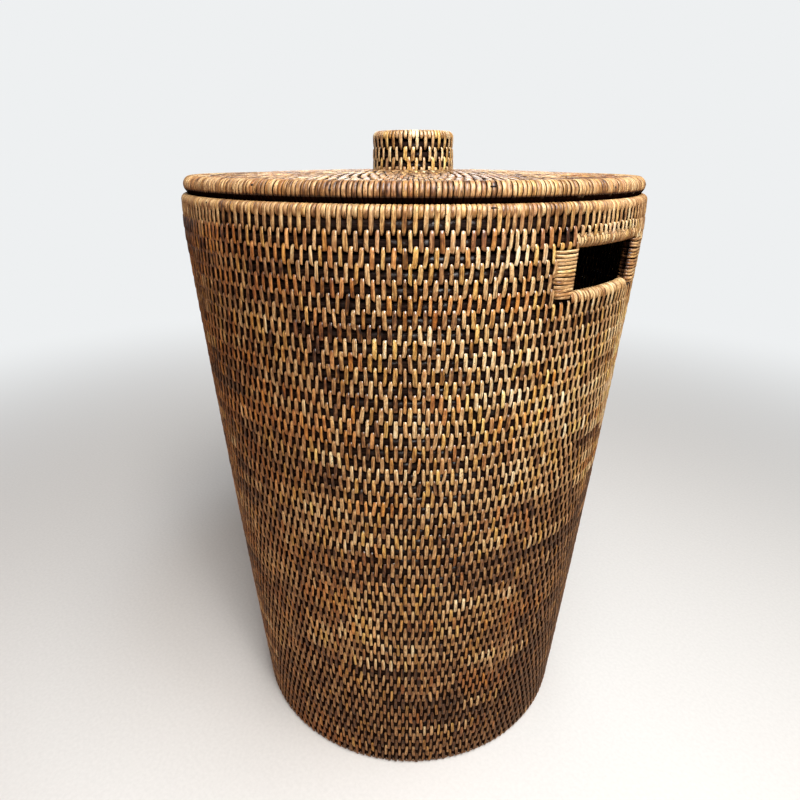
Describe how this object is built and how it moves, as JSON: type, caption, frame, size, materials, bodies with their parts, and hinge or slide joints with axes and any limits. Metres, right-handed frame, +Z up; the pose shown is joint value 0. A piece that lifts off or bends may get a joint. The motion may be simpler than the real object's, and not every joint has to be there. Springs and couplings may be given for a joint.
{
  "type": "laundry hamper",
  "caption": "Round tapered hamper of coiled and stitched cane, with a hand slot on each side and a lift-off domed lid that has a cylindrical woven knob.",
  "frame": {"origin": "middle of the round face that the hamper stands on, on the floor", "axes": "+Z up along the hamper's axis, +X through the middle of one hand slot, +Y through the blank side between the slots"},
  "size_m": [0.4168, 0.4168, 0.6002],
  "materials": {
    "rattan_wall": "lacquered split rattan stitched over dark stained cane",
    "rattan_wrap": "lacquered split rattan, closely wound",
    "rattan_lid": "lacquered split rattan stitched over cane",
    "dark_cane": "dark stained round cane, satin"
  },
  "bodies": {
    "hamper": {"base_panel": "rattan_wall", "lower_wall": "rattan_wall", "front_slot_rows": "rattan_wall", "back_slot_rows": "rattan_wall", "top_rows": "rattan_wall", "rim_cane": "dark_cane", "rim_wrap": "rattan_wrap", "right_slot_header": "rattan_wrap", "right_slot_sill": "rattan_wrap", "right_slot_front_jamb": "rattan_wrap", "right_slot_back_jamb": "rattan_wrap", "left_slot_header": "rattan_wrap", "left_slot_sill": "rattan_wrap", "left_slot_front_jamb": "rattan_wrap", "left_slot_back_jamb": "rattan_wrap"},
    "lid": {"lid_panel": "rattan_lid", "lid_cane": "dark_cane", "lid_wrap": "rattan_wrap", "knob_side": "rattan_lid", "knob_cap": "rattan_lid"}
  },
  "joints": [
    {"name": "lid_lift", "type": "slide", "parent": "hamper", "child": "lid", "axis": [0, 0, 1], "range_m": [0, 0.2]}
  ]
}
